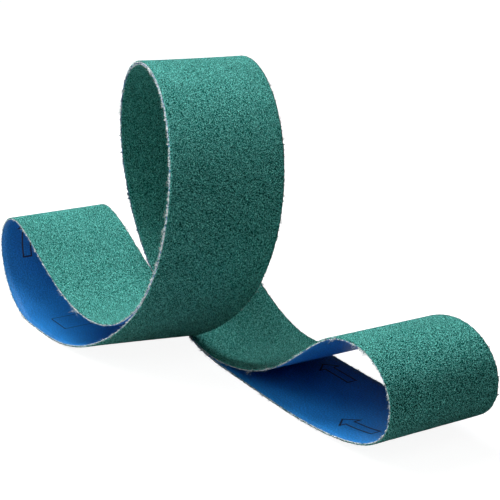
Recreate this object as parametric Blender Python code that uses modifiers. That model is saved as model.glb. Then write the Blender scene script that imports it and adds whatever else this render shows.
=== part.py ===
"""A wide sanding belt that stands by itself, with one upright loop between two round ends.

The belt is an endless strip: a cloth backing with a coat of abrasive grain on its outer face. It is
squeezed flat, cloth to cloth, and that double band makes one upright turn that comes down beside itself.
X runs across the belt, +Y is the end that lies behind the loop, and Z is up. All sizes are metres.
"""

import math
from collections import namedtuple

import bmesh
import bpy
import numpy as np

# The belt itself. Its length is measured on the abrasive face.
BELT_LENGTH = 2.000
BELT_WIDTH = 0.075
CLOTH_THICKNESS = 0.0005
COAT_THICKNESS = 0.0006
BOND_GAP = 0.0003

# Clear space between the cloth faces of the double band, and beside the place where its two runs pass
LAY_GAP = 0.0006
SIDE_GAP = 0.003

# The turn, from the floor before the loop, round it and down to the floor again.
# Each stretch has a length, a bend in degrees and a twist in degrees.
FRONT_FOOT = (0.071, 21.1, -6.4)
FRONT_RISE = (0.076, 22.4, -2.6)
LOOP_FRONT = (0.1505, 97.3, -10.0)
LOOP_CROWN = (0.1395, 88.1, -17.1)
LOOP_BACK = (0.1525, 87.6, -4.7)
# The last stretch is worked out, so that it comes down flat beside the first. These values start the search.
BACK_FOOT = (0.097, 40.5, -7.6)
# Bends and twists change gradually over this much on each side
EASE = 0.036

# The round end behind the loop, with runs measured back from the start of the turn
REAR_FLOOR = 0.037
REAR_FLOOR_EASE = 0.030
REAR_REACH = 0.088
REAR_BULGE_HEIGHT = 0.047
REAR_TOP_RUN = 0.055
REAR_TOP_HEIGHT = 0.0775
REAR_TOP_EASE = 0.033
REAR_JOIN_RUN = -0.155
REAR_JOIN_EASE = 0.104

# The round end before the loop, with runs measured on from the end of the turn
FRONT_FLOOR = 0.0605
FRONT_FLOOR_EASE = 0.108
FRONT_REACH = 0.1905
FRONT_BULGE_HEIGHT = 0.041
FRONT_TOP_RUN = 0.155
FRONT_TOP_HEIGHT = 0.0695
FRONT_TOP_EASE = 0.054
FRONT_JOIN_RUN = -0.0265
FRONT_JOIN_EASE = 0.1175

# Facets along the belt and across it, points along each drawn curve, and the step that follows the turn
STATIONS = 360
COLUMNS = 2
CURVE_POINTS = 60
WALK_STEP = 0.002
# A quarter of an ellipse has handles of this share of its radii
QUARTER_HANDLE = 0.5523
# Samples over which a corner of the turn is rounded
EASE_SAMPLES = 7
# Rounds of the searches that close the turn, space its two runs and bring the belt to its length
CLOSE_ROUNDS = 12
SPACING_ROUNDS = 6
LENGTH_ROUNDS = 6
# Small changes of length and of angle that the closing search tries, and the largest that one round makes
TRY_LENGTH = 0.0005
TRY_ANGLE = 0.06
MOST_LENGTH = 0.025
MOST_ANGLE = 11.0
# Points nearer than this are one point
MERGE_DISTANCE = 0.00001
# Edges that turn more sharply than this are shaded sharp, in degrees
SHARP_ANGLE = 40.0

COLLECTION_NAME = "sanding_belt"
COAT_NAME = "abrasive_coat"
CLOTH_NAME = "cloth_backing"
COAT_COLOUR = (0.035, 0.20, 0.165, 1.0)
COAT_ROUGHNESS = 0.9
CLOTH_COLOUR = (0.010, 0.13, 0.42, 1.0)
CLOTH_ROUGHNESS = 0.6

# Height of the upper grit face where two thicknesses lie together
DOUBLE_HEIGHT = 2 * (CLOTH_THICKNESS + BOND_GAP + COAT_THICKNESS) + LAY_GAP

RoundEnd = namedtuple("RoundEnd", "floor floor_ease reach bulge top_run top top_ease join_run join_ease")
REAR_END = RoundEnd(
    REAR_FLOOR, REAR_FLOOR_EASE, REAR_REACH, REAR_BULGE_HEIGHT,
    REAR_TOP_RUN, REAR_TOP_HEIGHT, REAR_TOP_EASE, REAR_JOIN_RUN, REAR_JOIN_EASE,
)
FRONT_END = RoundEnd(
    FRONT_FLOOR, FRONT_FLOOR_EASE, FRONT_REACH, FRONT_BULGE_HEIGHT,
    FRONT_TOP_RUN, FRONT_TOP_HEIGHT, FRONT_TOP_EASE, FRONT_JOIN_RUN, FRONT_JOIN_EASE,
)
# The turn followed step by step: the runs, and the place and the unit vectors along, across and up there
Walk = namedtuple("Walk", "run total place along across up")


def clear_scene():
    """Removes whatever the scene holds."""
    for thing in list(bpy.data.objects):
        bpy.data.objects.remove(thing, do_unlink=True)


def eased(run, knots, amounts):
    """The running total of the amounts of each stretch, with its corners rounded over EASE on each side."""
    totals = np.append(0.0, np.cumsum(amounts))
    offsets = (2 * (np.arange(EASE_SAMPLES) + 0.5) / EASE_SAMPLES - 1) * EASE
    weights = 1 + np.cos(math.pi * offsets / EASE)
    weights /= weights.sum()
    return sum(weight * np.interp(run - offset, knots, totals) for weight, offset in zip(weights, offsets))


def turned(first, second, angle):
    """Two unit vectors at a right angle, turned by an angle from the first toward the second."""
    cos, sin = math.cos(angle), math.sin(angle)
    return first * cos + second * sin, second * cos - first * sin


def walk_turn(stretches):
    """Follows the turn along the grit face that lies on the floor."""
    lengths, bends, twists = (np.array(column) for column in zip(*stretches))
    knots = np.append(0.0, np.cumsum(lengths))
    total = knots[-1]
    steps = math.ceil((total + 2 * EASE) / WALK_STEP)
    run = np.linspace(-EASE, total + EASE, steps + 1)
    step = run[1] - run[0]
    place = np.array((0.0, EASE, 0.0))
    along = np.array((0.0, -1.0, 0.0))
    across = np.array((1.0, 0.0, 0.0))
    up = np.array((0.0, 0.0, 1.0))
    rows = [(place, along, across, up)]
    bend_steps = np.diff(eased(run, knots, np.radians(bends)))
    twist_steps = np.diff(eased(run, knots, np.radians(twists)))
    for bend, twist in zip(bend_steps, twist_steps):
        along, up = turned(along, up, bend / 2)
        place = place + along * step
        along, up = turned(along, up, bend / 2)
        across, up = turned(across, up, twist)
        rows.append((place, along, across, up))
    return Walk(run, total, *(np.array(column) for column in zip(*rows)))


def stretches_with(last_length, loop_twist, last_twist, last_bend):
    """All stretches of the turn, with the last one as given and extra twist shared by those of the loop."""
    loop = [
        (length, bend, twist + loop_twist / 3)
        for length, bend, twist in (LOOP_FRONT, LOOP_CROWN, LOOP_BACK)
    ]
    return [FRONT_FOOT, FRONT_RISE, *loop, (last_length, last_bend, last_twist)]


def close_turn(side_step):
    """Works out the last stretch and the loop's twist, so that the turn ends flat on the floor, a step aside."""
    def miss(values):
        walk = walk_turn(stretches_with(*values))
        ends = (walk.place[-1, 2], walk.across[-1, 2], walk.place[-1, 0] - side_step, walk.along[-1, 2])
        return np.array(ends)

    last_length, last_bend, last_twist = BACK_FOOT
    values = np.array((last_length, 0.0, last_twist, last_bend))
    tries = np.array((TRY_LENGTH, TRY_ANGLE, TRY_ANGLE, TRY_ANGLE))
    most = np.array((MOST_LENGTH, MOST_ANGLE, MOST_ANGLE, MOST_ANGLE))
    for _ in range(CLOSE_ROUNDS):
        now = miss(values)
        slopes = [(miss(values + change) - now) / change.sum() for change in np.diag(tries)]
        values = values - np.clip(np.linalg.solve(np.array(slopes).T, now), -most, most)
    return walk_turn(stretches_with(*values))


def edge_line(walk, side, height):
    """One edge of a strand of the turn, on the side given as -1 or 1."""
    return walk.place + walk.across * side * BELT_WIDTH / 2 + walk.up * height


def side_clearance(walk):
    """The least space beside the run that sets off, where the run that comes down passes it."""
    setting_off = walk.run < walk.total / 3
    coming_down = walk.run > walk.total * 2 / 3
    gaps = []
    for first_height in (0, DOUBLE_HEIGHT):
        for last_height in (0, DOUBLE_HEIGHT):
            first = edge_line(walk, 1, first_height)[setting_off]
            last = edge_line(walk, -1, last_height)[coming_down]
            apart = np.linalg.norm(last[None, :, 1:] - first[:, None, 1:], axis=2)
            near_first, near_last = np.unravel_index(np.argmin(apart), apart.shape)
            gaps.append(last[near_last, 0] - first[near_first, 0])
    return min(gaps)


def spaced_turn():
    """The closed turn, whose two runs pass each other SIDE_GAP apart."""
    side_step = BELT_WIDTH
    for _ in range(SPACING_ROUNDS):
        walk = close_turn(side_step)
        side_step += SIDE_GAP - side_clearance(walk)
    return walk


def drawn_curve(start, start_handle, end_handle, end):
    """Points along a Bezier curve."""
    part = np.linspace(0, 1, CURVE_POINTS)[:, None]
    corners = [np.array(corner) for corner in (start, start_handle, end_handle, end)]
    weights = ((1 - part) ** 3, 3 * part * (1 - part) ** 2, 3 * part ** 2 * (1 - part), part ** 3)
    return sum(weight * corner for weight, corner in zip(weights, corners))


def end_outline(end, slack):
    """The side view of a round end, from the floor up its bulge and over its top to the double band."""
    floor, reach, top_run = end.floor + slack, end.reach + slack, end.top_run + slack
    shoulder = (end.top - end.bulge) * QUARTER_HANDLE
    underside = drawn_curve(
        (floor, 0), (floor + end.floor_ease, 0), (reach, end.bulge * (1 - QUARTER_HANDLE)), (reach, end.bulge)
    )
    upper_bulge = drawn_curve(
        (reach, end.bulge), (reach, end.bulge + shoulder),
        (top_run + (reach - top_run) * QUARTER_HANDLE, end.top), (top_run, end.top),
    )
    slope = drawn_curve(
        (top_run, end.top), (top_run - end.top_ease, end.top),
        (end.join_run + end.join_ease, DOUBLE_HEIGHT), (end.join_run, DOUBLE_HEIGHT),
    )
    return np.concatenate((underside, upper_bulge[1:], slope[1:]))


def side_view(total, slack):
    """The grit face as a closed line of runs and heights, with equal steps, as if the turn were rolled out."""
    rear = end_outline(REAR_END, slack)[::-1] * (-1, 1)
    front = end_outline(FRONT_END, slack) + (total, 0)
    corners = np.concatenate((rear, front, rear[:1]))
    passed = np.append(0.0, np.cumsum(np.linalg.norm(np.diff(corners, axis=0), axis=1)))
    stops = np.linspace(0, passed[-1], STATIONS + 1)
    return np.column_stack([np.interp(stops, passed, column) for column in corners.T])


def laid(line, walk):
    """Points given by run and height, laid along the turn: their places, and the directions across there."""
    runs = line[:, 0]
    place, along, across, up = (
        np.column_stack([np.interp(runs, walk.run, axis) for axis in vectors.T])
        for vectors in (walk.place, walk.along, walk.across, walk.up)
    )
    beyond = (runs - np.clip(runs, walk.run[0], walk.run[-1]))[:, None]
    return place + along * beyond + up * line[:, 1:], across


def belt_side_view(walk):
    """The side view with as much slack in both round ends as brings the belt to its length."""
    slack = 0.0
    for _ in range(LENGTH_ROUNDS):
        line = side_view(walk.total, slack)
        place = laid(line, walk)[0]
        length = np.linalg.norm(np.diff(place, axis=0), axis=1).sum()
        slack += (BELT_LENGTH - length) / 4
    return line


def sunk(line, depth):
    """A closed line of runs and heights, moved to the cloth's side by a depth."""
    around = line[:-1]
    heading = np.roll(around, -1, axis=0) - np.roll(around, 1, axis=0)
    heading /= np.linalg.norm(heading, axis=1)[:, None]
    moved = around + np.column_stack((-heading[:, 1], heading[:, 0])) * depth
    return np.concatenate((moved, moved[:1]))


def plain_material(name, colour, roughness):
    """A material of one colour."""
    material = bpy.data.materials.new(name)
    material.use_nodes = True
    shader = material.node_tree.nodes["Principled BSDF"]
    shader.inputs["Base Color"].default_value = colour
    shader.inputs["Roughness"].default_value = roughness
    shader.inputs["Metallic"].default_value = 0.0
    return material


def layer(name, depth, thickness, line, walk, material, collection):
    """One layer of the belt: a grid bent along the belt at a depth under the grit face, given a thickness."""
    place, across = laid(sunk(line, depth), walk)
    strip = bmesh.new()
    bmesh.ops.create_grid(strip, x_segments=STATIONS, y_segments=COLUMNS, size=0.5)
    for vertex in strip.verts:
        station = round((vertex.co.x + 0.5) * STATIONS)
        vertex.co = place[station] - across[station] * vertex.co.y * BELT_WIDTH
    bmesh.ops.triangulate(strip, faces=strip.faces)
    bmesh.ops.remove_doubles(strip, verts=strip.verts, dist=MERGE_DISTANCE)
    face_mesh = bpy.data.meshes.new(name + "_face")
    strip.to_mesh(face_mesh)
    strip.free()
    thing = bpy.data.objects.new(name, face_mesh)
    collection.objects.link(thing)
    solidify = thing.modifiers.new("thickness", "SOLIDIFY")
    solidify.thickness = thickness
    solidify.offset = -1
    solidify.use_even_offset = True
    solid = bpy.data.meshes.new_from_object(thing.evaluated_get(bpy.context.evaluated_depsgraph_get()))
    thing.modifiers.clear()
    thing.data = solid
    bpy.data.meshes.remove(face_mesh)
    solid.name = name
    solid.shade_smooth()
    solid.set_sharp_from_angle(angle=math.radians(SHARP_ANGLE))
    solid.materials.append(material)
    return thing


def main():
    """Makes both layers and puts the origin below the middle of the belt, on the floor."""
    clear_scene()
    collection = bpy.data.collections.new(COLLECTION_NAME)
    bpy.context.scene.collection.children.link(collection)
    walk = spaced_turn()
    line = belt_side_view(walk)
    coat = layer(
        COAT_NAME, 0.0, COAT_THICKNESS, line, walk,
        plain_material("abrasive_grain", COAT_COLOUR, COAT_ROUGHNESS), collection,
    )
    cloth = layer(
        CLOTH_NAME, COAT_THICKNESS + BOND_GAP, CLOTH_THICKNESS, line, walk,
        plain_material("backing_cloth", CLOTH_COLOUR, CLOTH_ROUGHNESS), collection,
    )
    corners = np.array([vertex.co for vertex in coat.data.vertices])
    low, high = corners.min(axis=0), corners.max(axis=0)
    for thing in (coat, cloth):
        thing.location = (-(low[0] + high[0]) / 2, -(low[1] + high[1]) / 2, -low[2])


main()
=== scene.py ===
"""The looks of a wide sanding belt: coarse green grain on blue cloth, with pale frayed cut edges.

Every piece is laid on the belt's own route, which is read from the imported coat. A place on the belt is a run
along it, a distance across it from its middle, and a depth under the grit face. All sizes are metres.
"""

import math
from collections import namedtuple

import bmesh
import bpy
import numpy as np
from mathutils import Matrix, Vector, noise


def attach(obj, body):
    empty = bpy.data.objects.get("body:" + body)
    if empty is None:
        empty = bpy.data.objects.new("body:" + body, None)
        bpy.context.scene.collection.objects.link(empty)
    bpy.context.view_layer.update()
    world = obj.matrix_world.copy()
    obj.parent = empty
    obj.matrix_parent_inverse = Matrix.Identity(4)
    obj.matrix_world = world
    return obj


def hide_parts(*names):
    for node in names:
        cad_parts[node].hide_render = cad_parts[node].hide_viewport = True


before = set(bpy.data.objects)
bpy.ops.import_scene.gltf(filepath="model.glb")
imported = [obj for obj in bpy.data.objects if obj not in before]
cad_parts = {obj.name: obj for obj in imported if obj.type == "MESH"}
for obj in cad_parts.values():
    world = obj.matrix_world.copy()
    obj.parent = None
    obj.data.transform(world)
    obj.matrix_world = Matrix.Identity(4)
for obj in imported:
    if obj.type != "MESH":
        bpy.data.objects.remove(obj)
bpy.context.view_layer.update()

# The belt's flat size and its layers, measured down from the grit face
BELT_WIDTH = 0.075
BELT_LENGTH = 2.000
CLOTH_DEPTH = 0.0009
INNER_DEPTH = 0.0014

# Reading the route: fine steps along each edge, how far a match may move on, the half width of the bell that
# rounds the facets off and how many half widths it reaches, the least angle of a corner in degrees, and how
# near to each other two mesh points are taken for one
FINE_STEPS = 8000
MATCH_STEPS = 60
ROUNDING = 0.0025
BELL_REACH = 3
CORNER_ANGLE = 60.0
MERGE_DISTANCE = 0.00001

# The grain: spacing of the coat's points, the size and height of its slow lumps, the height of its chips, and
# how far back its edges are broken
GRAIN_STEP = 0.00132
LUMP_SIZE = 0.0030
LUMP_HEIGHT = 0.00009
CHIP_HEIGHT = 0.00006
EDGE_CHIP = 0.0006
GRAIN_SEED = 4

# The cloth's points, along and across
CLOTH_STEP = 0.0025
CLOTH_COLUMNS = 15

# The pale fringe on both cut edges: where it lies in the cloth, how far it stands out, and its lumps.
# Between its lumps it draws back into the cloth.
FRINGE_STEP = 0.0006
FRINGE_TOP = 0.00092
FRINGE_FOOT = 0.00138
FRINGE_INSET = 0.0006
FRINGE_REACH = -0.00012
FRINGE_ROUGHNESS = 0.0013
FRINGE_LUMP = 0.0017
FRINGE_FINE_LUMP = FRINGE_LUMP / 3

# Where the fringe is painted dark navy as shade, since its cut rims lie in shade there: up the back of the
# loop, on both strands
SHADED_FRINGE_RUNS = ((0.92, 1.14), (1.74, 1.97))
FRINGE_SHADE_FADE = 0.03
# The painted shade's dark navy, and the plain white where the fringe has no painted shade
PAINTED_FRINGE_SHADE = (0.10, 0.17, 0.27)
UNSHADED_WHITE = (1.0, 1.0, 1.0)

# Loose fibres at both cut edges, also over the coat's rim. Lean and curl along the edge and drop into the
# belt's depth are spreads in the fibre's own lengths, taper is the share of thickness that its tip loses, and
# no fibre comes lower than FIBRE_FLOOR.
FIBRE_COUNT = 3600
FIBRE_TOP = 0.0004
FIBRE_LENGTHS = (0.0005, 0.0016)
FIBRE_RADIUS = 0.00006
FIBRE_POINTS = 4
FIBRE_LEAN = 0.7
FIBRE_CURL = 0.6
FIBRE_DROP = 0.4
FIBRE_TAPER = 0.6
FIBRE_FLOOR = 0.0001
FIBRE_SEED = 11
TUFT_COUNT = 220
TUFT_FIBRES = 8
TUFT_SPREAD = 0.0005
TUFT_LENGTHS = (0.0009, 0.0022)
TUFT_THICKNESS = 1.5

# Runs of the longer tufts on the left edge
THREAD_RUNS = (0.6225, 1.2805, 1.3040, 1.3875, 1.4165)
THREAD_LENGTHS = (0.0018, 0.0042)
THREAD_FIBRES = 16
THREAD_THICKNESS = 2.0

# The print on the cloth: outlined running arrows in two rows, and empty frames. A place is a run and a
# distance across.
PRINT_PERIOD = 0.3527
PRINT_STEP = 0.002
INK_THICKNESS = 0.00004
ARROW_PLACES = ((0.1018, -0.0175), (0.1840, 0.0230))
ARROW_SHAFT = 0.026
ARROW_SHAFT_WIDTH = 0.0065
ARROW_HEAD = 0.008
ARROW_HEAD_WIDTH = 0.015
ARROW_STROKE = 0.0012
FRAME_PLACE = (0.0083, 0.004)
FRAME_DEPTH = 0.025
FRAME_WIDTH = 0.050
FRAME_STROKE = 0.0008

# Grain looks: the scale of the fine noise and its colours, from painted shade in the hollows through the
# grain's own greens to painted glints on the crests, the scale of a slow change of tone and its two shades,
# and the depth of the bump
GRAIN_NOISE_SCALE = 2450.0
GRAIN_COLOURS_SHADE_AND_GLINTS = (
    (0.41, (0.001, 0.018, 0.014)),
    (0.49, (0.003, 0.112, 0.091)),
    (0.555, (0.024, 0.345, 0.288)),
    # The palest stop is a painted glint on the crests of the grain
    (0.63, (0.290, 0.930, 0.840)),
)
GRAIN_TONE_SCALE = 24.0
GRAIN_TONES = ((0.35, (0.90, 0.90, 0.90)), (0.65, (1.0, 1.0, 1.0)))
GRAIN_BUMP_DEPTH = 0.00025

# Cloth looks: the weave's scale and its angle in degrees, the scale of the fibres and their shades, the scale
# of a slow change of tone and its two blues, and the strength and depth of the bump
WEAVE_SCALE = 420.0
WEAVE_ANGLE = 35.0
CLOTH_FIBRE_SCALE = 1000.0
CLOTH_FIBRE_SHADES = ((0.40, (0.45, 0.54, 0.58)), (0.60, (1.0, 1.0, 1.0)))
CLOTH_TONE_SCALE = 45.0
CLOTH_BLUES = ((0.35, (0.021, 0.268, 0.725)), (0.65, (0.027, 0.315, 0.830)))
CLOTH_BUMP_STRENGTH = 0.35
CLOTH_BUMP_DEPTH = 0.0002

# Yarn and ink looks: the scale of the stains on cut yarn and its colours, and the same for the ink's wear
YARN_STAIN_SCALE = 850.0
YARN_COLOURS = (
    (0.37, (0.020, 0.090, 0.130)),
    (0.45, (0.460, 0.620, 0.640)),
    (0.53, (0.930, 0.990, 0.970)),
)
INK_WEAR_SCALE = 900.0
INK_COLOURS = ((0.40, (0.002, 0.006, 0.016)), (0.70, (0.006, 0.026, 0.075)))

# The camera: its place, its heading from +Y toward +X and how far it looks down, both in degrees, and its
# lens and sensor in millimetres
CAMERA_PLACE = (-0.3720, -0.6145, 0.2983)
CAMERA_HEADING = 32.865
CAMERA_DIP = 16.780
CAMERA_LENS = 82.03
SENSOR_WIDTH = 36.0

# The stage: a floor that bounces a little light, the world's level, and square lamps. The floor's own glow
# grows from FLOOR_GLOW at the near distance to plain white at the far one. Each lamp has a name, a place and
# a power in watts.
FLOOR_SIZE = 24.0
FLOOR_HEIGHT = -0.0002
FLOOR_LEVEL = 0.37
FLOOR_GLOW = 0.92
FLOOR_NEAR = 0.5
FLOOR_FAR = 1.6
WORLD_LEVEL = 0.03
LAMP_SIZE = 0.7
LAMP_TARGET = (0.0, 0.0, 0.05)
LAMPS = (
    ("key_lamp", (-0.25, 0.62, 1.50), 26.0),
    ("left_lamp", (-1.00, 0.22, 1.30), 7.0),
    ("left_front_lamp", (-1.20, -0.40, 0.90), 2.2),
    ("camera_side_lamp", (-0.60, -1.00, 1.00), 2.8),
)

# The name of the map that holds each mesh point's run and distance across
BELT_MAP = "belt_run_and_width"

Route = namedtuple("Route", "length run middle across normal")
Fibre = namedtuple("Fibre", "points thickness")


# The belt's route


def closed_lengths(line):
    """The distance passed at each point of a closed line, with the whole length at the end."""
    steps = np.linalg.norm(np.roll(line, -1, axis=0) - line, axis=1)
    return np.append(0.0, np.cumsum(steps))


def resampled(line, count):
    """A closed line at equal steps."""
    passed = closed_lengths(line)
    closed = np.concatenate((line, line[:1]))
    stops = np.linspace(0, passed[-1], count, endpoint=False)
    return np.column_stack([np.interp(stops, passed, column) for column in closed.T])


def rounded(line, reach):
    """A closed line at equal steps, averaged over a bell of the given half width."""
    step = closed_lengths(line)[-1] / len(line)
    count = math.ceil(BELL_REACH * reach / step)
    offsets = np.arange(-count, count + 1)
    weights = np.exp(-((offsets * step / reach) ** 2) / 2)
    weights /= weights.sum()
    return sum(weight * np.roll(line, offset, axis=0) for weight, offset in zip(weights, offsets))


def corner_lines(node):
    """The four closed corner lines of a layer, each with its side of the belt, -1 or 1."""
    mesh = bmesh.new()
    mesh.from_mesh(node.data)
    bmesh.ops.remove_doubles(mesh, verts=mesh.verts, dist=MERGE_DISTANCE)
    mesh.normal_update()
    corners = [edge for edge in mesh.edges if edge.calc_face_angle(0.0) > math.radians(CORNER_ANGLE)]
    neighbours = {}
    sides = {}
    for edge in corners:
        rim = max(edge.link_faces, key=lambda face: abs(face.normal.x))
        for vertex in edge.verts:
            neighbours.setdefault(vertex.index, []).append(edge.other_vert(vertex).index)
            sides[vertex.index] = 1 if rim.normal.x > 0 else -1
    mesh.verts.ensure_lookup_table()
    lines = []
    left = set(neighbours)
    while left:
        here = min(left)
        side = sides[here]
        line = []
        while here in left:
            left.remove(here)
            line.append(mesh.verts[here].co[:])
            here = next((other for other in neighbours[here] if other in left), here)
        lines.append((side, np.array(line)))
    mesh.free()
    return lines


def grit_edges(node):
    """The two edges of the grit face, both from the highest point and the same way round."""
    lines = corner_lines(node)
    edges = []
    for side in (-1, 1):
        on_side = [line for its_side, line in lines if its_side == side]
        edge = resampled(max(on_side, key=lambda line: closed_lengths(line)[-1]), FINE_STEPS)
        edge = np.roll(edge, -int(np.argmax(edge[:, 2])), axis=0)
        if edge[MATCH_STEPS, 1] > edge[0, 1]:
            edge = edge[::-1]
        edges.append(edge)
    return edges


def read_route(node):
    """The belt's middle line on the grit face, with the unit vectors across it and out of the grit."""
    left, right = grit_edges(node)
    reach = np.arange(-MATCH_STEPS, MATCH_STEPS + 1)
    at = int(np.argmin(np.linalg.norm(right - left[0], axis=1)))
    matches = []
    for point in left:
        near = (at + reach) % FINE_STEPS
        at = int(near[np.argmin(np.linalg.norm(right[near] - point, axis=1))])
        matches.append(right[at])
    left = rounded(left, ROUNDING)
    right = rounded(np.array(matches), ROUNDING)
    middle = (left + right) / 2
    across = right - left
    across /= np.linalg.norm(across, axis=1)[:, None]
    along = np.roll(middle, -1, axis=0) - np.roll(middle, 1, axis=0)
    along /= np.linalg.norm(along, axis=1)[:, None]
    normal = np.cross(across, along)
    normal /= np.linalg.norm(normal, axis=1)[:, None]
    if normal[np.argmax(middle[:, 2]), 2] < 0:
        normal = -normal
    passed = closed_lengths(middle)
    return Route(passed[-1], passed, middle, across, normal)


def at_runs(runs, values):
    """Vectors of the route at the given runs, which may pass its end."""
    closed = np.concatenate((values, values[:1]))
    return np.stack([np.interp(runs % route.length, route.run, column) for column in closed.T], axis=-1)


def on_belt(runs, offsets, depths):
    """Places on the belt for runs, distances across and depths, which are arrays of one shape."""
    middle, across, normal = (at_runs(runs, values) for values in (route.middle, route.across, route.normal))
    return middle + across * np.asarray(offsets)[..., None] - normal * np.asarray(depths)[..., None]


def lumps(places, size):
    """Smooth noise from -1 to 1 at each place, with lumps of about the given size."""
    flat = (places / size).reshape(-1, 3)
    return np.array([noise.noise(Vector(place)) for place in flat]).reshape(places.shape[:-1])


# Meshes


def add_piece(name, data, material, replaced):
    """An object in the scene that rides with the belt and stands for a node of the frame."""
    piece = bpy.data.objects.new(name, data)
    bpy.context.scene.collection.objects.link(piece)
    data.materials.append(material)
    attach(piece, "root")
    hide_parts(replaced)
    return piece


def closed_band(name, places, offsets):
    """A mesh closed along its length and round its section, from places by station and section point."""
    stations, points = places.shape[:2]
    index = np.arange(stations * points).reshape(stations, points)
    onward = np.roll(index, -1, axis=0)
    faces = np.stack((index, np.roll(index, -1, axis=1), np.roll(onward, -1, axis=1), onward), axis=-1)
    mesh = bpy.data.meshes.new(name)
    mesh.from_pydata(places.reshape(-1, 3).tolist(), [], faces.reshape(-1, 4).tolist())
    station = np.arange(stations)[:, None]
    runs = np.broadcast_to(station, (stations, points)) * route.length / stations
    onward_runs = runs + route.length / stations
    widths = np.broadcast_to(offsets, (stations, points))
    onward_widths = np.roll(widths, -1, axis=1)
    corners = ((runs, widths), (runs, onward_widths), (onward_runs, onward_widths), (onward_runs, widths))
    flat_map = np.stack([np.stack(corner, axis=-1) for corner in corners], axis=2)
    mesh.uv_layers.new(name=BELT_MAP).uv.foreach_set("vector", flat_map.astype(np.float32).ravel())
    mesh.shade_smooth()
    mesh.validate()
    return mesh


def stations_at(step):
    """Runs at equal steps near the given one, round the whole belt."""
    count = round(route.length / step)
    return np.arange(count) * route.length / count


def section_places(runs, offsets, depths):
    """Places for each run and each point of a section."""
    shape = (len(runs), len(offsets))
    return on_belt(
        np.broadcast_to(runs[:, None], shape), np.broadcast_to(offsets, shape), np.broadcast_to(depths, shape)
    )


def make_coat():
    """The coat of grain: a lumpy grit face with chipped edges, cut rims, and an underside on the cloth."""
    runs = stations_at(GRAIN_STEP)
    columns = round(BELT_WIDTH / GRAIN_STEP) + 1
    grit = np.linspace(-BELT_WIDTH / 2, BELT_WIDTH / 2, columns)
    offsets = np.append(grit, (BELT_WIDTH / 2, -BELT_WIDTH / 2))
    depths = np.append(np.zeros(columns), (CLOTH_DEPTH, CLOTH_DEPTH))
    places = section_places(runs, offsets, depths)
    top = places[:, :columns]
    lift = lumps(top, LUMP_SIZE) * LUMP_HEIGHT
    draw = np.random.default_rng(GRAIN_SEED)
    chips = draw.uniform(-1, 1, lift.shape) * CHIP_HEIGHT
    # The highest chips are cut off flat
    lift = np.minimum(lift + chips, CHIP_HEIGHT) - CHIP_HEIGHT / 2
    normal = at_runs(runs, route.normal)[:, None]
    places[:, :columns] = top + normal * lift[..., None]
    across = at_runs(runs, route.across)
    for column, inward in ((0, 1), (columns - 1, -1)):
        broken = draw.uniform(0, 1, len(runs)) ** 2 * EDGE_CHIP
        places[:, column] += across * inward * broken[:, None]
    mesh = closed_band("coat_of_grain", places, offsets)
    return add_piece("coat_of_grain", mesh, grain_material(), "abrasive_coat")


def make_cloth():
    """The cloth: its blue inner face, its cut rims and its bonded face."""
    runs = stations_at(CLOTH_STEP)
    inner = np.linspace(BELT_WIDTH / 2, -BELT_WIDTH / 2, CLOTH_COLUMNS)
    offsets = np.append(inner, (-BELT_WIDTH / 2, BELT_WIDTH / 2))
    depths = np.append(np.full(CLOTH_COLUMNS, INNER_DEPTH), (CLOTH_DEPTH, CLOTH_DEPTH))
    mesh = closed_band("woven_backing", section_places(runs, offsets, depths), offsets)
    return add_piece("woven_backing", mesh, cloth_material(), "cloth_backing")


def make_fringe(side, name):
    """The pale, uneven fringe of cut yarns along one edge of the belt."""
    runs = stations_at(FRINGE_STEP)
    edge = BELT_WIDTH / 2
    section = (
        (edge - FRINGE_INSET, FRINGE_TOP),
        (edge, FRINGE_TOP),
        (edge, FRINGE_FOOT),
        (edge - FRINGE_INSET, FRINGE_FOOT),
    )
    # Only the two points on the edge move outward
    outward = np.array((0.0, 1.0, 1.0, 0.0))
    offsets, depths = (np.array(column) for column in zip(*section))
    places = section_places(runs, offsets * side, depths)
    if side < 0:
        places = places[:, ::-1]
        outward = outward[::-1]
    rough = np.abs(lumps(places, FRINGE_LUMP)) + np.abs(lumps(places, FRINGE_FINE_LUMP))
    reach = (FRINGE_REACH + rough ** 2 * FRINGE_ROUGHNESS) * outward
    across = at_runs(runs, route.across)[:, None] * side
    mesh = closed_band(name, places + across * reach[..., None], offsets * side)
    return add_piece(name, mesh, yarn_material(), "cloth_backing")


def outline_ring(corners, stroke, step):
    """The outer and inner edge of a drawn outline, as points at short steps, from its corners in turn."""
    before, after = np.roll(corners, 1, axis=0), np.roll(corners, -1, axis=0)
    into = (corners - before) / np.linalg.norm(corners - before, axis=1)[:, None]
    out_of = (after - corners) / np.linalg.norm(after - corners, axis=1)[:, None]
    sideways = np.column_stack((-into[:, 1], into[:, 0])) + np.column_stack((-out_of[:, 1], out_of[:, 0]))
    sideways /= (1 + (into * out_of).sum(axis=1))[:, None]
    rings = []
    for side in (-1, 1):
        ring = corners + sideways * side * stroke / 2
        points = []
        for first, second, corner, following in zip(ring, np.roll(ring, -1, axis=0), corners, after):
            count = max(1, math.ceil(np.linalg.norm(following - corner) / step))
            points += [first + (second - first) * part / count for part in range(count)]
        rings.append(np.array(points))
    return rings


def arrow_corners():
    """A running arrow, from the middle of its tail, with runs first."""
    shaft, head = ARROW_SHAFT_WIDTH / 2, ARROW_HEAD_WIDTH / 2
    tip = ARROW_SHAFT + ARROW_HEAD
    return [
        (0, -shaft), (ARROW_SHAFT, -shaft), (ARROW_SHAFT, -head), (tip, 0),
        (ARROW_SHAFT, head), (ARROW_SHAFT, shaft), (0, shaft),
    ]


def frame_corners():
    """An empty frame across the belt, from the middle of its lower side, with runs first."""
    side = FRAME_WIDTH / 2
    return [(0, -side), (FRAME_DEPTH, -side), (FRAME_DEPTH, side), (0, side)]


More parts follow.
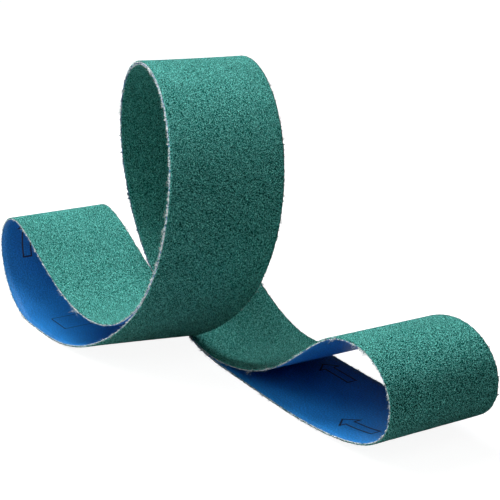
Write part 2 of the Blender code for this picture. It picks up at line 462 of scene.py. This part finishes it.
def printed(name, corners, run, offset, stroke):
    """A drawn outline printed on the cloth's inner face. Its ink makes no use of the belt map."""
    outer, inner = outline_ring(np.array(corners) + (run, offset), stroke, PRINT_STEP)
    flat = np.stack((outer, inner, inner, outer), axis=1)
    depths = np.array((INNER_DEPTH + INK_THICKNESS, INNER_DEPTH + INK_THICKNESS, CLOTH_DEPTH, CLOTH_DEPTH))
    places = on_belt(flat[..., 0], flat[..., 1], np.broadcast_to(depths, flat.shape[:2]))
    mesh = closed_band(name, places, np.zeros(len(depths)))
    return add_piece(name, mesh, ink_material(), "cloth_backing")


def make_prints():
    """Running arrows and empty frames, printed along the whole belt at the print's own spacing."""
    prints = []
    for number in range(math.floor(BELT_LENGTH / PRINT_PERIOD)):
        along = number * PRINT_PERIOD
        for row, (run, offset) in enumerate(ARROW_PLACES):
            name = f"printed_arrow_{row + 1}_{number + 1}"
            prints.append(printed(name, arrow_corners(), run + along, offset, ARROW_STROKE))
        run, offset = FRAME_PLACE
        name = f"printed_frame_{number + 1}"
        prints.append(printed(name, frame_corners(), run + along, offset, FRAME_STROKE))
    return prints


def bent_fibre(draw, run, side, lengths, thickness):
    """One loose fibre that leaves the cut edge and bends away."""
    length = draw.uniform(*lengths)
    depth = draw.uniform(FIBRE_TOP, INNER_DEPTH)
    lean, curl, drop = draw.normal(0, (FIBRE_LEAN, FIBRE_CURL, FIBRE_DROP))
    part = np.linspace(0, 1, FIBRE_POINTS)
    runs = run + length * (lean * part + curl * part ** 2)
    offsets = side * (BELT_WIDTH / 2 + length * part)
    depths = depth + length * drop * part ** 2
    points = on_belt(runs, offsets, depths)
    points[:, 2] = np.maximum(points[:, 2], FIBRE_FLOOR)
    return Fibre(points, thickness * (1 - FIBRE_TAPER * part))


def make_fibres(name, draw, fibres):
    """Many fibres in one object, each given by its run, side, range of lengths and thickness."""
    curve = bpy.data.curves.new(name, "CURVE")
    curve.dimensions = "3D"
    curve.bevel_depth = FIBRE_RADIUS
    curve.bevel_resolution = 0
    for run, side, lengths, thickness in fibres:
        fibre = bent_fibre(draw, run, side, lengths, thickness)
        spline = curve.splines.new("POLY")
        spline.points.add(len(fibre.points) - 1)
        spline.points.foreach_set("co", np.column_stack((fibre.points, np.ones(len(fibre.points)))).ravel())
        spline.points.foreach_set("radius", fibre.thickness)
    return add_piece(name, curve, yarn_material(), "cloth_backing")


def make_fuzz():
    """Single fibres all along both edges, small tufts here and there, and longer ones on the left edge."""
    draw = np.random.default_rng(FIBRE_SEED)
    singles = [
        (draw.uniform(0, route.length), draw.choice((-1, 1)), FIBRE_LENGTHS, 1.0) for _ in range(FIBRE_COUNT)
    ]
    tufts = []
    for _ in range(TUFT_COUNT):
        run, side = draw.uniform(0, route.length), draw.choice((-1, 1))
        for _ in range(TUFT_FIBRES):
            tufts.append((run + draw.normal(0, TUFT_SPREAD), side, TUFT_LENGTHS, TUFT_THICKNESS))
    for run in THREAD_RUNS:
        for _ in range(THREAD_FIBRES):
            tufts.append((run + draw.normal(0, TUFT_SPREAD), -1, THREAD_LENGTHS, THREAD_THICKNESS))
    return [make_fibres("edge_fibres", draw, singles), make_fibres("edge_tufts", draw, tufts)]


# Materials


def new_material(name):
    """A material with its node tree, its shader, and a function that adds nodes."""
    material = bpy.data.materials.new(name)
    material.use_nodes = True
    tree = material.node_tree
    shader = tree.nodes["Principled BSDF"]

    def add(kind, inputs=None, **settings):
        node = tree.nodes.new(kind)
        for key, value in settings.items():
            setattr(node, key, value)
        for key, value in (inputs or {}).items():
            socket = node.inputs[key]
            if isinstance(value, bpy.types.NodeSocket):
                tree.links.new(value, socket)
            else:
                socket.default_value = value
        return node

    return material, tree, shader, add


def ramp(add, factor, stops):
    """A colour ramp through stops of a position and a colour."""
    node = add("ShaderNodeValToRGB", {"Fac": factor})
    elements = node.color_ramp.elements
    for end in (0, -1):
        elements[end].position = stops[end][0]
        elements[end].color = (*stops[end][1], 1.0)
    for position, colour in stops[1:-1]:
        elements.new(position).color = (*colour, 1.0)
    return node.outputs["Color"]


def grain_material():
    """Green grain in resin, with painted shade in its hollows, painted glints on its crests, and a slow change
    of tone.
    """
    material, tree, shader, add = new_material("green_grain")
    place = add("ShaderNodeTexCoord").outputs["Object"]
    grit = add("ShaderNodeTexNoise", {
        "Vector": place, "Scale": GRAIN_NOISE_SCALE, "Detail": 0.5, "Roughness": 0.5, "Distortion": 0.2,
    }).outputs["Fac"]
    patches = add("ShaderNodeTexNoise", {
        "Vector": place, "Scale": GRAIN_TONE_SCALE, "Detail": 2.0,
    }).outputs["Fac"]
    # The ramp paints shade into the low hollows and glints onto the high crests, on top of the grain's own
    # greens
    grain = ramp(add, grit, GRAIN_COLOURS_SHADE_AND_GLINTS)
    tone = ramp(add, patches, GRAIN_TONES)
    toned = add("ShaderNodeMixRGB", {"Fac": 1.0, "Color1": grain, "Color2": tone}, blend_type="MULTIPLY")
    tree.links.new(toned.outputs["Color"], shader.inputs["Base Color"])
    bump = add("ShaderNodeBump", {"Height": grit, "Strength": 1.0, "Distance": GRAIN_BUMP_DEPTH})
    tree.links.new(bump.outputs["Normal"], shader.inputs["Normal"])
    shader.inputs["Roughness"].default_value = 0.5
    shader.inputs["Specular IOR Level"].default_value = 0.0
    shader.inputs["Sheen Weight"].default_value = 0.05
    shader.inputs["Sheen Roughness"].default_value = 0.4
    return material


def cloth_material():
    """Blue impregnated cloth: a fine diagonal weave, slightly glossy, with a slow change of tone."""
    material, tree, shader, add = new_material("blue_twill")
    place = add("ShaderNodeUVMap", uv_map=BELT_MAP).outputs["UV"]
    turn = (0.0, 0.0, math.radians(WEAVE_ANGLE))
    turned = add("ShaderNodeMapping", {"Vector": place, "Rotation": turn}).outputs["Vector"]
    twill = add("ShaderNodeTexWave", {
        "Vector": turned, "Scale": WEAVE_SCALE, "Distortion": 1.2, "Detail": 1.0,
    }).outputs["Fac"]
    fibres = add("ShaderNodeTexNoise", {
        "Vector": place, "Scale": CLOTH_FIBRE_SCALE, "Detail": 2.0,
    }).outputs["Fac"]
    patches = add("ShaderNodeTexNoise", {
        "Vector": place, "Scale": CLOTH_TONE_SCALE, "Detail": 3.0,
    }).outputs["Fac"]
    base = ramp(add, patches, CLOTH_BLUES)
    flecks = ramp(add, fibres, CLOTH_FIBRE_SHADES)
    colour = add("ShaderNodeMixRGB", {"Fac": 1.0, "Color1": base, "Color2": flecks}, blend_type="MULTIPLY")
    tree.links.new(colour.outputs["Color"], shader.inputs["Base Color"])
    height = add("ShaderNodeMath", {0: twill, 1: fibres}, operation="ADD").outputs["Value"]
    bump = add("ShaderNodeBump", {
        "Height": height, "Strength": CLOTH_BUMP_STRENGTH, "Distance": CLOTH_BUMP_DEPTH,
    })
    tree.links.new(bump.outputs["Normal"], shader.inputs["Normal"])
    shader.inputs["Roughness"].default_value = 0.5
    shader.inputs["Specular IOR Level"].default_value = 0.3
    return material


def yarn_material():
    """Off-white cut yarn with stains, and painted shade in dark navy along the shaded runs of the fringe."""
    made = bpy.data.materials.get("pale_yarn")
    if made:
        return made
    material, tree, shader, add = new_material("pale_yarn")
    place = add("ShaderNodeTexCoord").outputs["Object"]
    stains = add("ShaderNodeTexNoise", {
        "Vector": place, "Scale": YARN_STAIN_SCALE, "Detail": 2.0,
    }).outputs["Fac"]
    cut = ramp(add, stains, YARN_COLOURS)
    # Loose fibres have no belt map, so their run is 0 and they get no painted shade
    flat_place = add("ShaderNodeUVMap", uv_map=BELT_MAP).outputs["UV"]
    run = add("ShaderNodeSeparateXYZ", {"Vector": flat_place}).outputs["X"]
    part = add("ShaderNodeMath", {0: run, 1: BELT_LENGTH}, operation="DIVIDE").outputs["Value"]
    # The fringe is painted dark navy as shade along the shaded runs, fading in and out at each end
    stops = [(0.0, UNSHADED_WHITE)]
    for start, end in SHADED_FRINGE_RUNS:
        stops.append((start / BELT_LENGTH, UNSHADED_WHITE))
        stops.append(((start + FRINGE_SHADE_FADE) / BELT_LENGTH, PAINTED_FRINGE_SHADE))
        stops.append(((end - FRINGE_SHADE_FADE) / BELT_LENGTH, PAINTED_FRINGE_SHADE))
        stops.append((end / BELT_LENGTH, UNSHADED_WHITE))
    stops.append((1.0, UNSHADED_WHITE))
    painted_shade = ramp(add, part, stops)
    colour = add("ShaderNodeMixRGB", {"Fac": 1.0, "Color1": cut, "Color2": painted_shade}, blend_type="MULTIPLY")
    tree.links.new(colour.outputs["Color"], shader.inputs["Base Color"])
    shader.inputs["Roughness"].default_value = 0.85
    shader.inputs["Specular IOR Level"].default_value = 0.2
    return material


def ink_material():
    """Dull dark ink, printed on the cloth."""
    made = bpy.data.materials.get("dark_ink")
    if made:
        return made
    material, tree, shader, add = new_material("dark_ink")
    place = add("ShaderNodeTexCoord").outputs["Object"]
    wear = add("ShaderNodeTexNoise", {
        "Vector": place, "Scale": INK_WEAR_SCALE, "Detail": 2.0,
    }).outputs["Fac"]
    tree.links.new(ramp(add, wear, INK_COLOURS), shader.inputs["Base Color"])
    shader.inputs["Roughness"].default_value = 0.6
    return material


# Stage


def make_floor():
    """A plain white floor, as white as the background, that keeps the belt's shadow."""
    bpy.ops.mesh.primitive_plane_add(size=FLOOR_SIZE, location=(0, 0, FLOOR_HEIGHT))
    floor = bpy.context.object
    floor.name = "floor"
    material, tree, shader, add = new_material("white_floor")
    shader.inputs["Base Color"].default_value = (FLOOR_LEVEL, FLOOR_LEVEL, FLOOR_LEVEL, 1.0)
    shader.inputs["Roughness"].default_value = 1.0
    shader.inputs["Specular IOR Level"].default_value = 0.0
    place = add("ShaderNodeTexCoord").outputs["Object"]
    away = add("ShaderNodeVectorMath", {0: place}, operation="LENGTH").outputs["Value"]
    glow = add("ShaderNodeMapRange", {
        "Value": away, "From Min": FLOOR_NEAR, "From Max": FLOOR_FAR, "To Min": FLOOR_GLOW, "To Max": 1.0,
    }).outputs["Result"]
    rays = add("ShaderNodeLightPath").outputs
    seen = rays["Is Camera Ray"]
    for kind in ("Is Glossy Ray", "Is Transmission Ray"):
        seen = add("ShaderNodeMath", {0: seen, 1: rays[kind]}, operation="MAXIMUM").outputs["Value"]
    shown = add("ShaderNodeMath", {0: seen, 1: glow}, operation="MULTIPLY")
    tree.links.new(shown.outputs["Value"], shader.inputs["Emission Strength"])
    shader.inputs["Emission Color"].default_value = (1.0, 1.0, 1.0, 1.0)
    floor.data.materials.append(material)


def make_world():
    """A little even light from all round, seen as plain white."""
    world = bpy.data.worlds.new("studio")
    bpy.context.scene.world = world
    world.use_nodes = True
    tree = world.node_tree
    background = tree.nodes["Background"]
    rays = tree.nodes.new("ShaderNodeLightPath")
    level = tree.nodes.new("ShaderNodeMapRange")
    tree.links.new(rays.outputs["Is Camera Ray"], level.inputs["Value"])
    level.inputs["To Min"].default_value = WORLD_LEVEL
    level.inputs["To Max"].default_value = 1.0
    tree.links.new(level.outputs["Result"], background.inputs["Strength"])
    background.inputs["Color"].default_value = (1.0, 1.0, 1.0, 1.0)


def make_light(name, place, power):
    """A square area lamp that looks at the lamps' target."""
    lamp = bpy.data.lights.new(name, "AREA")
    lamp.size = LAMP_SIZE
    lamp.energy = power
    light = bpy.data.objects.new(name, lamp)
    bpy.context.scene.collection.objects.link(light)
    light.location = place
    light.rotation_euler = (Vector(LAMP_TARGET) - Vector(place)).to_track_quat("-Z", "Y").to_euler()


def make_camera():
    """The camera, where the belt is seen as in the reference view."""
    lens = bpy.data.cameras.new("camera")
    lens.lens = CAMERA_LENS
    lens.sensor_width = SENSOR_WIDTH
    camera = bpy.data.objects.new("camera", lens)
    bpy.context.scene.collection.objects.link(camera)
    camera.location = CAMERA_PLACE
    camera.rotation_euler = (math.radians(90 - CAMERA_DIP), 0, math.radians(-CAMERA_HEADING))
    bpy.context.scene.camera = camera


def main():
    """Makes the stage and all the pieces."""
    make_camera()
    make_world()
    make_floor()
    for lamp in LAMPS:
        make_light(*lamp)
    coat = make_coat()
    cloth = make_cloth()
    fringes = [make_fringe(-1, "left_fringe"), make_fringe(1, "right_fringe")]
    fuzz = make_fuzz()
    prints = make_prints()
    bpy.context.scene.view_settings.view_transform = "Standard"


route = read_route(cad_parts["abrasive_coat"])
main()
